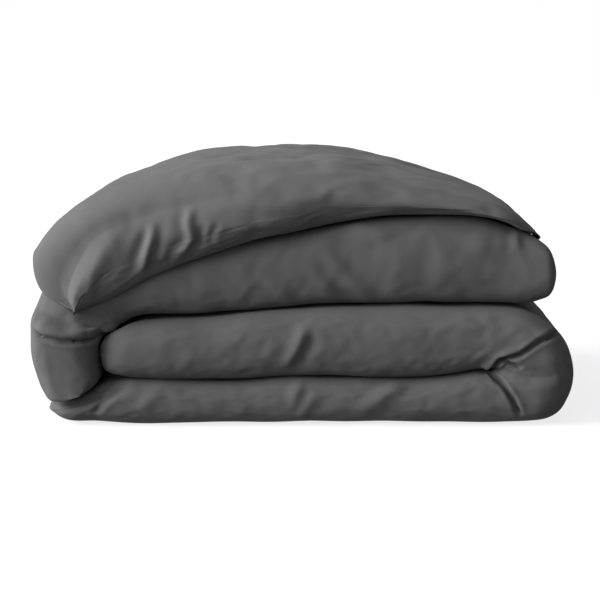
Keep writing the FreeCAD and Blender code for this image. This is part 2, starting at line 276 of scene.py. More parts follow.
@dataclass(frozen=True)
class Finishes:
    """Every finish of the duvet."""

    cover: Cotton = Cotton("dark_grey_percale", (0.100, 0.100, 0.102), 0.00034, 0.00012, 0.9, 0.05)
    casing: Cotton = Cotton("off_white_cambric", (0.74, 0.73, 0.70), 0.00022, 0.0001, 0.8, 0.2)
    wadding: Cotton = Cotton("white_wadding", (0.82, 0.82, 0.80), 0.0011, 0.0009, 1.0, 0.5)
    button: Moulded = Moulded("grey_button_resin", (0.05, 0.05, 0.054))
    label: Cotton = Cotton("satin_label_tape", (0.78, 0.78, 0.76), 0.0002, 0.00005, 0.45, 0.1)


def smoothstep(values: np.ndarray, low: float, high: float) -> np.ndarray:
    """Rise from 0 at low to 1 at high, smoothly; high may be the smaller one."""
    part = np.clip((values - low) / (high - low), 0.0, 1.0)
    return part * part * (3.0 - 2.0 * part)


def through(points: np.ndarray, spacing: float) -> np.ndarray:
    """Smooth curve through control points.

    Args:
        points: One row per control point: inner x and z, outer x and z, then any other columns.
        spacing: Distance between the results, mostly measured along the outer points.

    Returns:
        Rows along the curve, evenly spaced.
    """
    gaps = np.maximum(np.linalg.norm(np.diff(points, axis=0), axis=1), 1e-9) ** 0.5
    knots = np.concatenate(([0.0], np.cumsum(gaps)))
    slopes = np.gradient(points, knots, axis=0)
    fine = np.linspace(0.0, knots[-1], 60 * len(points))
    index = np.clip(np.searchsorted(knots, fine, side="right") - 1, 0, len(knots) - 2)
    width = (knots[index + 1] - knots[index])[:, None]
    part = ((fine - knots[index]) / width[:, 0])[:, None]
    start, end = points[index], points[index + 1]
    into, out = slopes[index] * width, slopes[index + 1] * width
    curve = (
        (2 * part**3 - 3 * part**2 + 1) * start + (part**3 - 2 * part**2 + part) * into
        + (3 * part**2 - 2 * part**3) * end + (part**3 - part**2) * out)
    along = run_length(0.25 * curve[:, 0:2] + 0.75 * curve[:, 2:4])
    count = max(8, int(round(along[-1] / spacing)))
    places = np.linspace(0.0, along[-1], count + 1)
    return np.stack([np.interp(places, along, column) for column in curve.T], axis=1)


def run_length(points: np.ndarray) -> np.ndarray:
    """Distance travelled along a line of points, starting at 0."""
    return np.concatenate(([0.0], np.cumsum(np.linalg.norm(np.diff(points, axis=0), axis=1))))


def swell(points: np.ndarray, size: float, waves: int, seed: int) -> np.ndarray:
    """Gentle unevenness of a stuffed cloth.

    Args:
        points: Places in metres.
        size: Typical distance from hump to hump, in metres.
        waves: How many waves are added.
        seed: Seed of their directions.

    Returns:
        A value near -1 to 1 for each place.
    """
    chance = np.random.default_rng(seed)
    total = np.zeros(len(points))
    for _ in range(waves):
        direction = chance.normal(size=3)
        direction *= math.tau / (np.linalg.norm(direction) * size * chance.uniform(0.7, 1.6))
        total += np.sin(points @ direction + chance.uniform(0.0, math.tau))
    return total / math.sqrt(waves)


def slump(places: np.ndarray) -> np.ndarray:
    """Lean that the whole stack shares: its top sinks towards the back on the right.

    Args:
        places: Points whose last axis is x, y, z.

    Returns:
        The leaning points.
    """
    x, y, z = places[..., 0], places[..., 1], places[..., 2]
    high = np.clip(z / 0.22, 0.0, 1.2)
    sink = 0.007 * smoothstep(y, -0.10, 0.24) * smoothstep(x, 0.02, 0.24) * high**2
    sink = sink + 0.006 * smoothstep(y, 0.05, 0.26) * smoothstep(x, -0.12, -0.28) * high**2
    leaning = places.copy()
    leaning[..., 2] = z - sink
    leaning[..., 0] = 1.016 * x + 0.0022 * np.sin(9.0 * y + 1.0) * np.sin(14.0 * z) * high
    leaning[..., 1] = y + 0.0020 * np.sin(11.0 * x + 0.4) * np.cos(19.0 * z + 5.0 * x)
    return leaning


def distance_to_line(places: np.ndarray,
                     line: np.ndarray) -> tuple[np.ndarray, np.ndarray, np.ndarray]:
    """Nearest point of a broken line.

    Args:
        places: Points in the plane.
        line: Corners of the line.

    Returns:
        For each point its distance, the share of the line's length at the nearest place, and the side
        of the line that it is on, from -1 to 1.
    """
    best = np.full(len(places), np.inf)
    share = np.zeros(len(places))
    side = np.zeros(len(places))
    starts = run_length(line)
    for index, length in enumerate(np.diff(starts)):
        run = (line[index + 1] - line[index]) / length
        reach = places - line[index]
        along = np.clip(reach @ run, 0.0, length)
        away = reach - along[:, None] * run
        distance = np.linalg.norm(away, axis=1)
        nearer = distance < best
        best[nearer] = distance[nearer]
        share[nearer] = (starts[index] + along[nearer]) / starts[-1]
        cross = run[0] * away[:, 1] - run[1] * away[:, 0]
        side[nearer] = np.sign(cross[nearer])
    return best, share, side


@dataclass(frozen=True)
class Edges:
    """How the padding rounds in at its front and its back.

    shoulder and belly are how deep the rounding is at the outer and the inner face, and widest is the
    level that stands out furthest, from -1 at the inner face to 1 at the outer one.
    """

    shoulder: float
    belly: float
    widest: float = 0.0
    roundness: float = 2.4
    under: float = 2.4
    front: float = -0.260
    back: float = 0.260


@dataclass(frozen=True)
class Slackness:
    """How slack the cover lies on its padding while it settles as cloth."""

    unrest: float = 0.0007
    hold: float = 0.14
    hold_stiffness: float = 0.6
    mass: float = 0.2
    stretch: float = 30.0
    shear: float = 8.0
    bending: float = 3.0
    pressure: float = 1.0
    growth: float = 0.030
    steps: int = 4


@dataclass(frozen=True)
class Layout:
    """A surface laid out in rows along the strip and columns around it."""

    points: np.ndarray
    levels: np.ndarray
    along: np.ndarray
    around: np.ndarray


SLACKNESS = Slackness()


@dataclass
class PaddedLength:
    """A padded length of the folded strip, as it lies in the stack.

    ribs are rows of (inner x, inner z, outer x, outer z) in millimetres: the padding's two faces along
    the strip, seen from the front. Its first and last rows are single points, where the cloth closes.
    """

    name: str
    ribs: tuple[tuple[float, ...], ...]
    edges: Edges
    creases: tuple[Crease, ...] = ()
    seed: int = 1
    start_corner: float = 0.035
    end_corner: float = 0.035
    spacing: float = 0.0027
    edge_steps: int = 66
    flat_steps: int = 44
    tip_run: float = 0.05
    tip_depth: float = 0.012
    blend: tuple[tuple[float, float, float], tuple[float, float, float]] | None = None
    bodies: tuple[Body, ...] = (Body.BASE,)
    nodes: tuple[str, ...] = ()
    slack: float = 0.8

    def faces(self, rails: np.ndarray, along: np.ndarray,
              y: np.ndarray) -> tuple[np.ndarray, np.ndarray]:
        """Inner and outer faces of the padding under each point.

        Args:
            rails: Rows of the interpolated ribs.
            along: Distance of each row from the strip's start.
            y: Depth of each point, by row and column.

        Returns:
            The two faces, by row, column and x or z.
        """
        shape = (*y.shape, 2)
        inner, outer = rails[:, None, 0:2], rails[:, None, 2:4]
        return np.broadcast_to(inner, shape), np.broadcast_to(outer, shape)

    def front_line(self, rails: np.ndarray) -> np.ndarray:
        """Depth at which the front edge stands out furthest.

        Args:
            rails: Rows of the interpolated ribs.

        Returns:
            The depth, for each row.
        """
        return np.full(len(rails), self.edges.front)

    def bare(self, points: np.ndarray) -> np.ndarray:
        """Freedom of the outer face.

        Args:
            points: Points of the layout, by row and column.

        Returns:
            For each point 1 where nothing lies on it, and 0 where a layer does.
        """
        return np.zeros(points.shape[:2])

    def shape(self, inset: float, coarse: float) -> Layout:
        """Lay the surface out.

        Args:
            inset: How far inside the cover's face it lies.
            coarse: Factor on the spacing.

        Returns:
            The surface, row by row.
        """
        rails = through(np.array(self.ribs) * MM, self.spacing * coarse)
        along = run_length((rails[:, 0:2] + rails[:, 2:4]) / 2)
        whole = along[-1]
        if inset:
            room = np.linalg.norm(rails[:, 2:4] - rails[:, 0:2], axis=1) > 2 * inset + END_ROOM
            kept = slice(np.flatnonzero(room)[0], np.flatnonzero(room)[-1] + 1)
            rails, along = rails[kept], along[kept]
        left = np.minimum(along - along[0], along[-1] - along)
        free = smoothstep(left, 0.0, self.tip_run)[:, None]
        close = smoothstep(left, 0.0, 0.4 * self.tip_run)[:, None]
        edges = self.edges
        shoulder = self.tip_depth + (edges.shoulder - self.tip_depth) * free
        belly = self.tip_depth + (edges.belly - self.tip_depth) * close
        widest = edges.widest * close
        pull = self._corner(along, self.start_corner) + self._corner(whole - along, self.end_corner)
        front = (self.front_line(rails) + pull + inset)[:, None]
        back = (edges.back - pull - inset)[:, None]

        flats = max(6, int(round(self.flat_steps / coarse)))
        level, depth = self._edge(self.edge_steps / coarse, shoulder, belly, widest)
        back_level, back_depth = self._edge(0.6 * self.edge_steps / coarse, shoulder, belly, widest)
        across = np.linspace(0.0, 1.0, flats + 1)[1:-1]
        across = 0.55 * across + 0.45 * (1 - np.cos(math.pi * across)) / 2
        top = front + shoulder + (back - front - 2 * shoulder) * across
        bottom = back - belly - (back - front - 2 * belly) * across
        levels = np.hstack(
            (level, np.ones_like(top), back_level[:, ::-1], -np.ones_like(bottom), level[:, :1]))
        y = np.hstack((front + depth, top, back - back_depth[:, ::-1], bottom, front + depth[:, :1]))

        inner, outer = self.faces(rails, along, y)
        middle = (inner + outer) / 2
        half = (outer - inner) / 2
        thickness = np.linalg.norm(half, axis=2, keepdims=True)
        half = half * np.clip(1.0 - inset / np.maximum(thickness, 1e-6), 0.0, 1.0)
        if inset:
            half[0] = half[-1] = 0.0
        flat = middle + half * levels[:, :, None]
        points = slump(np.stack((flat[..., 0], y, flat[..., 1]), axis=2))
        return Layout(points, levels, along, run_length(points[len(points) // 2]))

    def _edge(self, steps: float, shoulder: np.ndarray, belly: np.ndarray,
              widest: np.ndarray) -> tuple[np.ndarray, np.ndarray]:
        """Round the padding in, from its inner face to its outer one.

        Args:
            steps: Steps round the edge.
            shoulder: How deep the rounding is at the outer face, for each rib.
            belly: How deep it is at the inner face.
            widest: Level that stands out furthest.

        Returns:
            Level and depth by rib and step.
        """
        count = max(8, 2 * int(round(steps / 2)))
        turn = np.linspace(-math.pi / 2, math.pi / 2, count + 1)
        power = 2.0 / np.where(turn > 0, self.edges.roundness, self.edges.under)
        rise = np.sign(turn) * np.abs(np.sin(turn)) ** power
        fall = 1.0 - np.abs(np.cos(turn)) ** power
        level = np.where(rise > 0, widest + (1 - widest) * rise, widest + (1 + widest) * rise)
        depth = np.where(rise > 0, shoulder, belly) * fall
        for end in (0, -1):
            depth[end] = (depth[end] + depth[end, ::-1]) / 2
        return level, depth

    @staticmethod
    def _corner(distance: np.ndarray, radius: float) -> np.ndarray:
        """How far a rounded corner pulls the edge in, for each distance from the strip's end."""
        left = np.clip(radius - distance, 0.0, radius)
        return radius - np.sqrt(np.maximum(radius**2 - left**2, 0.0))

    def settle(self) -> Layout:
        """Let the cover settle as slack cloth over its padding.

        Where another layer lies against it, the cloth stays where it is.

        Returns:
            The coarse layout, whose points hold how far each place moved.
        """
        layout = self.shape(0.0, SETTLE_DETAIL)
        piece = self.mesh(layout, "settling")
        places, normals = surface(piece)
        chance = np.random.default_rng(self.seed)
        unrest = SLACKNESS.unrest * chance.normal(size=len(places))
        write_places(piece, places + normals * unrest[:, None])
        group = piece.vertex_groups.new(name="padding")
        group.add(list(range(len(places))), SLACKNESS.hold, "REPLACE")
        modifier = piece.modifiers.new("cloth", "CLOTH")
        settings = modifier.settings
        settings.quality = SLACKNESS.steps
        settings.mass = SLACKNESS.mass
        settings.tension_stiffness = settings.compression_stiffness = SLACKNESS.stretch
        settings.shear_stiffness = SLACKNESS.shear
        settings.bending_stiffness = SLACKNESS.bending
        settings.use_pressure = True
        settings.uniform_pressure_force = SLACKNESS.pressure
        settings.shrink_min = -SLACKNESS.growth
        settings.vertex_group_mass = "padding"
        settings.pin_stiffness = SLACKNESS.hold_stiffness
        settings.effector_weights.gravity = 0.0
        modifier.collision_settings.use_collision = False
        for frame in range(1, SETTLE_FRAMES + 1):
            bpy.context.scene.frame_set(frame)
        settled = piece.evaluated_get(bpy.context.evaluated_depsgraph_get())
        moved = np.empty(3 * len(places))
        settled.data.vertices.foreach_get("co", moved)
        movement = moved.reshape(-1, 3) - places
        bpy.context.scene.frame_set(1)
        piece.modifiers.clear()
        tree = KDTree(len(places))
        for index, place in enumerate(places):
            tree.insert(place, index)
        tree.balance()
        nearest = [tree.find(point)[1] for point in layout.points.reshape(-1, 3)]
        bpy.data.objects.remove(piece)
        wrinkles = movement[nearest].reshape(layout.points.shape)
        wrinkles -= self._smooth(wrinkles, SWELLING_PASSES)
        distance = np.maximum(np.linalg.norm(wrinkles, axis=2, keepdims=True), 1e-9)
        wrinkles *= SETTLE_CAP * np.tanh(distance / SETTLE_CAP) / distance
        log.info("%s settled by %.1f mm", self.name, 1000 * np.linalg.norm(wrinkles, axis=2).mean())
        edge = 1.0 - smoothstep(np.abs(layout.levels), 0.72, 0.985)
        outer = (layout.levels > 0) * self.bare(layout.points)
        ahead = smoothstep(layout.points[..., 1], -0.10, -0.20)
        freedom = (np.maximum(edge, outer) * (1.0 - (1.0 - self.slack) * ahead))[..., None]
        return replace(layout, points=wrinkles * freedom)

    @staticmethod
    def _smooth(movement: np.ndarray, passes: int) -> np.ndarray:
        """Smooth a movement along the rows and round the columns.

        Args:
            movement: Movement by row, column and axis.
            passes: How often it is smoothed.

        Returns:
            The smoothed movement.
        """
        smooth = movement.copy()
        for _ in range(passes):
            ring = smooth[:, :-1]
            ring = (np.roll(ring, 1, axis=1) + 2 * ring + np.roll(ring, -1, axis=1)) / 4
            smooth = np.concatenate((ring, ring[:, :1]), axis=1)
            smooth[1:-1] = (smooth[:-2] + 2 * smooth[1:-1] + smooth[2:]) / 4
        return smooth

    @staticmethod
    def _carry(coarse: Layout, fine: Layout) -> np.ndarray:
        """Carry the coarse layout's movement over to the fine one.

        Args:
            coarse: Layout whose points hold the movement.
            fine: Layout that takes it over.

        Returns:
            The movement by row and column of the fine layout, smoothed.
        """
        rows = np.linspace(0.0, 1.0, len(coarse.points))
        fine_rows = np.linspace(0.0, 1.0, len(fine.points))
        across = coarse.around / coarse.around[-1]
        fine_across = fine.around / fine.around[-1]
        carried = np.stack([
            np.stack([np.interp(fine_across, across, line) for line in coarse.points[..., axis]])
            for axis in range(3)], axis=2)
        carried = np.stack([
            np.stack([np.interp(fine_rows, rows, carried[:, column, axis])
                      for column in range(carried.shape[1])], axis=1)
            for axis in range(3)], axis=2)
        return PaddedLength._smooth(carried, COARSE_SMOOTHING)

    def mesh(self, layout: Layout, suffix: str) -> bpy.types.Object:
        """Make the closed mesh of a layout.

        Args:
            layout: The surface.
            suffix: Ending of the piece's name.

        Returns:
            The new object, with a UV map in metres.
        """
        points, along, around = layout.points, layout.along, layout.around
        rows, columns = points.shape[:2]
        work = bmesh.new()
        bmesh.ops.create_grid(work, x_segments=rows - 1, y_segments=columns - 1, size=1.0)
        row = [round((vertex.co.x + 1) / 2 * (rows - 1)) for vertex in work.verts]
        column = [round((vertex.co.y + 1) / 2 * (columns - 1)) for vertex in work.verts]
        cloth = work.loops.layers.uv.new("cloth")
        for face in work.faces:
            for loop in face.loops:
                index = loop.vert.index
                loop[cloth].uv = (along[row[index]], around[column[index]])
            face.smooth = True
        for vertex in work.verts:
            vertex.co = points[row[vertex.index], column[vertex.index]]
        bmesh.ops.remove_doubles(work, verts=work.verts, dist=WELD)
        bmesh.ops.dissolve_degenerate(work, edges=work.edges, dist=SPECK)
        bmesh.ops.recalc_face_normals(work, faces=work.faces)
        name = f"{self.name}_{suffix}"
        open_edges = sum(edge.is_boundary for edge in work.edges)
        log.info("%s: %d faces, %d open edges", name, len(work.faces), open_edges)
        mesh = bpy.data.meshes.new(name)
        work.to_mesh(mesh)
        work.free()
        piece = bpy.data.objects.new(name, mesh)
        bpy.context.scene.collection.objects.link(piece)
        return piece

    def cover(self) -> bpy.types.Object:
        """Make the cotton cover, settled as cloth and then creased.

        Returns:
            The finished cover.
        """
        layout = self.shape(0.0, 1.0)
        layout = replace(layout, points=layout.points + self._carry(self.settle(), layout))
        piece = self.mesh(layout, "cover")
        self.press(piece)
        return piece

    def filling(self, part: str, inset: float) -> bpy.types.Object:
        """Make the casing or the wadding inside the cover.

        Args:
            part: Name of the part.
            inset: How far inside the cover it lies.

        Returns:
            The piece.
        """
        return self.mesh(self.shape(inset, FILLING_DETAIL), part)

    def build(self, finishes: "Finishes") -> None:
        """Make the cover, the casing and the wadding; a length on one body hangs them on the frame, a length
        between two bodies leaves them where they lie.

        Args:
            finishes: Finishes of the duvet.
        """
        pieces = (
            (self.cover(), finishes.cover, Slot.COVER, "cover", CLOTH_FILL),
            (self.filling("casing", CASING_INSET), finishes.casing, Slot.CASING, "casing",
             CLOTH_FILL),
            (self.filling("wadding", WADDING_INSET), finishes.wadding, Slot.WADDING, "wadding",
             WADDING_FILL))
        for piece, finish, slot, part, fill in pieces:
            dress(piece, finish.material())
            if self.blend is None:
                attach(piece, self.bodies[0].value)
            else:
                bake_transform(piece)
            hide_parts(*(f"{node}_{part}" for node in self.nodes))

    def press(self, piece: bpy.types.Object) -> None:
        """Press the creases and puckers into a cover.

        Args:
            piece: The cover.
        """
        places, normals = surface(piece)
        move = (BROAD_UNEVENNESS * swell(places, 0.16, 7, self.seed)
                + FINE_UNEVENNESS * swell(places, 0.06, 9, self.seed + 50))
        for crease in self.creases:
            first, second, facing, sign = crease.side.value
            flat = places[:, (first, second)]
            distance, share, above = distance_to_line(flat, np.array(crease.line) * MM)
            taper = smoothstep(share, 0.0, crease.fade) * smoothstep(share, 1.0, 1.0 - crease.fade)
            faces = smoothstep(normals[:, facing] * sign, 0.05, 0.45) * taper
            width = crease.width * MM
            hollow = np.exp(-((distance / width) ** 2))
            hollow -= crease.lip * np.exp(-(((distance - 2.0 * width) / (1.2 * width)) ** 2))
            move -= crease.depth * MM * hollow * faces
            beside = np.exp(-((distance / (4.0 * width)) ** 2))
            move += crease.shelf * MM * beside * (above > 0) * faces
        pressed = places + normals * move[:, None]
        pressed[:, 2] = np.maximum(pressed[:, 2], 0.0)
        write_places(piece, pressed)


def surface(piece: bpy.types.Object) -> tuple[np.ndarray, np.ndarray]:
    """Read a mesh.

    Args:
        piece: The mesh's object.

    Returns:
        Places and normals of its points.
    """
    mesh = piece.data
    places = np.empty(len(mesh.vertices) * 3)
    mesh.vertices.foreach_get("co", places)
    normals = np.empty(len(mesh.vertices) * 3)
    mesh.vertex_normals.foreach_get("vector", normals)
    return places.reshape(-1, 3), normals.reshape(-1, 3)


def write_places(piece: bpy.types.Object, places: np.ndarray) -> None:
    """Move a mesh's points to new places."""
    piece.data.vertices.foreach_set("co", places.ravel())
    piece.data.update()


def dress(piece: bpy.types.Object, material: bpy.types.Material) -> None:
    """Give a piece its material."""
    piece.data.materials.clear()
    piece.data.materials.append(material)


@dataclass
class BaseLength(PaddedLength):
    """Inner layer, lower right fold and bottom layer."""

    end_recess: float = 0.014
    under_fold: float = 0.006
    inside_fold: float = 0.003

    def front_line(self, rails: np.ndarray) -> np.ndarray:
        """Front edge, which draws back under the left fold and inside it."""
        below = smoothstep(rails[:, 0], -0.195, -0.240) * smoothstep(rails[:, 1], 0.052, 0.047)
        inside = smoothstep(rails[:, 2], -0.150, -0.205) * smoothstep(rails[:, 3], 0.055, 0.075)
        return self.edges.front + self.under_fold * below + self.inside_fold * inside

    def bare(self, points: np.ndarray) -> np.ndarray:
        """The lower right fold is free on the right."""
        return smoothstep(points[..., 0], 0.245, 0.285)

    def faces(self, rails: np.ndarray, along: np.ndarray,
              y: np.ndarray) -> tuple[np.ndarray, np.ndarray]:
        """Faces whose free end is pulled in between front and back, where the opening is."""
        inner, outer = super().faces(rails, along, y)
        middle = smoothstep(np.abs(y), 0.240, 0.205)[..., None] * np.array((1.0, 0.0))
        pulled = []
        for face in (inner, outer):
            left = smoothstep(face[..., 0:1], -0.150, -0.215)
            end = left * smoothstep(face[..., 1:2], 0.0505, 0.0515)
            pulled.append(face + self.end_recess * middle * end)
        return pulled[0], pulled[1]


@dataclass
class MiddleLength(PaddedLength):
    """Left fold, middle layer and upper right fold."""

    wall_ahead: float = 0.018

    def front_line(self, rails: np.ndarray) -> np.ndarray:
        """Front edge: the left fold's wall stands a little ahead of the layers."""
        wall = smoothstep(rails[:, 2], -0.180, -0.235) * smoothstep(rails[:, 3], 0.132, 0.112)
        return self.edges.front - self.wall_ahead * wall

    def bare(self, points: np.ndarray) -> np.ndarray:
        """The folds are free on the left and on the right."""
        x, z = points[..., 0], points[..., 2]
        left = smoothstep(x, -0.255, -0.290) * smoothstep(z, 0.165, 0.130)
        return np.maximum(left, smoothstep(x, 0.266, 0.276))


@dataclass
class FlapLength(PaddedLength):
    """Top flap, whose front and back edges hang over the layer below.

    Its ribs have two more columns, the x and z of the front hem.
    """

    lap: float = -0.2495
    lap_depth: float = 0.032
    back_hang: float = 0.55
    lift_at: float = -0.206
    lift_width: float = 0.024
    draw_back: float = 0.0125

    def bare(self, points: np.ndarray) -> np.ndarray:
        """Nothing lies on the flap."""
        return np.ones(points.shape[:2])

    def faces(self, rails: np.ndarray, along: np.ndarray,
              y: np.ndarray) -> tuple[np.ndarray, np.ndarray]:
        """Faces that come down to the hem in front of the layer below."""
        inner, outer = super().faces(rails, along, y)
        hang = self._hang(y) + self.back_hang * self._hang(-y)
        drop = (rails[:, None, 4:6] - rails[:, None, 0:2]) * hang[..., None]
        end = smoothstep(along, 0.13, 0.0)[:, None, None]
        tip = smoothstep(along, 0.055, 0.0)[:, None, None]
        raised = np.exp(-(((y - self.lift_at) / self.lift_width) ** 2))[..., None]
        lift = raised * np.array((0.002, 0.031)) * tip
        closing = (smoothstep(along, 0.0, 0.02) * smoothstep(along, 0.20, 0.03))[:, None, None]
        recess = smoothstep(y, -0.20, -0.06)[..., None] * np.array((0.012, -0.003)) * closing
        far = smoothstep(along[-1] - along, 0.015, 0.0)[:, None, None]
        return inner + drop + lift, outer + drop * np.maximum(end, far) + lift + recess

    def front_line(self, rails: np.ndarray) -> np.ndarray:
        """Front edge, which hangs clear of the layer below on the left and lies on it further on."""
        return self.edges.front + self.draw_back * smoothstep(rails[:, 0], -0.10, 0.06)

    def _hang(self, y: np.ndarray) -> np.ndarray:
        """Share of the drop to the hem: 1 in front of the layer below, 0 on top of it."""
        inward = np.clip((y - self.lap) / self.lap_depth, 0.0, 1.0)
        return 1.0 - (1.0 - (1.0 - inward) ** 2.2) ** (1 / 2.2)


BASE_RIBS = (
    (-223.5, 78, -223.5, 78), (-221, 66, -221.5, 90), (-215, 57, -214.5, 98), (-203, 52.5, -203, 104.5),
    (-185, 50.6, -188, 112), (-156, 50.5, -162, 115.5), (-111, 49.5, -111, 117), (-65, 49.5, -65, 122),
    (-20, 53, -20, 126), (30, 53, 25, 129.5), (80, 51.6, 80, 129.3), (125, 51.6, 125, 131),
    (160, 55, 172, 130.5), (190, 60.5, 212, 129), (203, 61, 240, 126), (208, 61.5, 262, 117),
    (210, 61.5, 280, 104), (211, 60.5, 290, 88), (211, 59.5, 296, 68), (210, 58.5, 296.5, 48),
    (209, 58, 292, 30), (207.5, 57.5, 283, 14), (205.5, 57.5, 270, 4.5), (202, 58, 250, 1),
    (190, 58.5, 215, 0), (160, 53.5, 170, 0), (122, 50, 125, 0), (80, 50, 80, 0), (30, 51.5, 30, 0),
    (-20, 51.5, -20, 0), (-65, 48, -65, 0), (-111, 48, -111, 0), (-156, 49, -154, 0),
    (-196, 50, -190, 0), (-215, 45.5, -212, 0), (-232, 37.5, -230, 0.4), (-248, 30.5, -246, 1.5),
    (-266, 25, -261, 4.5), (-277, 21, -271, 9.5), (-280, 15.5, -280, 15.5))

MIDDLE_RIBS = (
    (-241, 35.5, -241, 35.5), (-237, 38.5, -262, 28), (-230, 43, -276, 28), (-225, 49, -284, 39),
    (-224.2, 57, -290, 54), (-225.5, 68, -295, 69), (-225.5, 80, -297.5, 85),
    (-223.5, 90, -297, 101), (-219, 98, -296, 118), (-212, 102.5, -289.5, 134), (-204, 107, -283, 150),
    (-195, 111.5, -274, 165), (-186, 116.5, -258, 178), (-172, 118.5, -232, 187), (-150, 119, -195, 191),
    (-111, 120.5, -140, 196), (-65, 125.5, -80, 203), (-20, 129.5, -25, 210), (25, 133, 20, 218),
    (80, 132.5, 80, 227.5), (130, 134.5, 130, 229.5), (180, 134, 178, 229), (215, 132.5, 206, 224),
    (240, 132, 232, 215), (257, 134.5, 253, 206), (269, 141, 267, 196), (275, 152, 274, 184),
    (277, 168, 277, 168))

FLAP_RIBS = (
    (-290, 143, -290, 143, -247, 125), (-287.5, 151, -294, 152, -245, 126),
    (-284, 163, -297, 171, -242, 127), (-276, 175, -296, 186, -237, 128.5),
    (-262, 185, -287, 205, -228, 131), (-245, 191, -269, 225.5, -216, 135),
    (-215, 194.5, -239, 248, -198, 143), (-170, 198.5, -190, 266.5, -170, 158),
    (-120, 204, -129, 281, -124, 179), (-65, 209, -68, 288.5, -65, 200), (-10, 215, -10, 290, -10, 213),
    (40, 224, 42, 287, 38, 227), (90, 230.5, 93, 278.5, 90, 230.5), (140, 232.5, 145, 266.5, 140, 231.5),
    (185, 231.5, 193, 252, 188, 231.5), (215, 226, 225, 237.5, 214, 224.5),
    (238, 214.6, 244, 224, 236, 211.5), (252, 207.3, 257, 212, 250, 203.5),
    (262, 200.4, 262, 200.4, 260, 197.5))


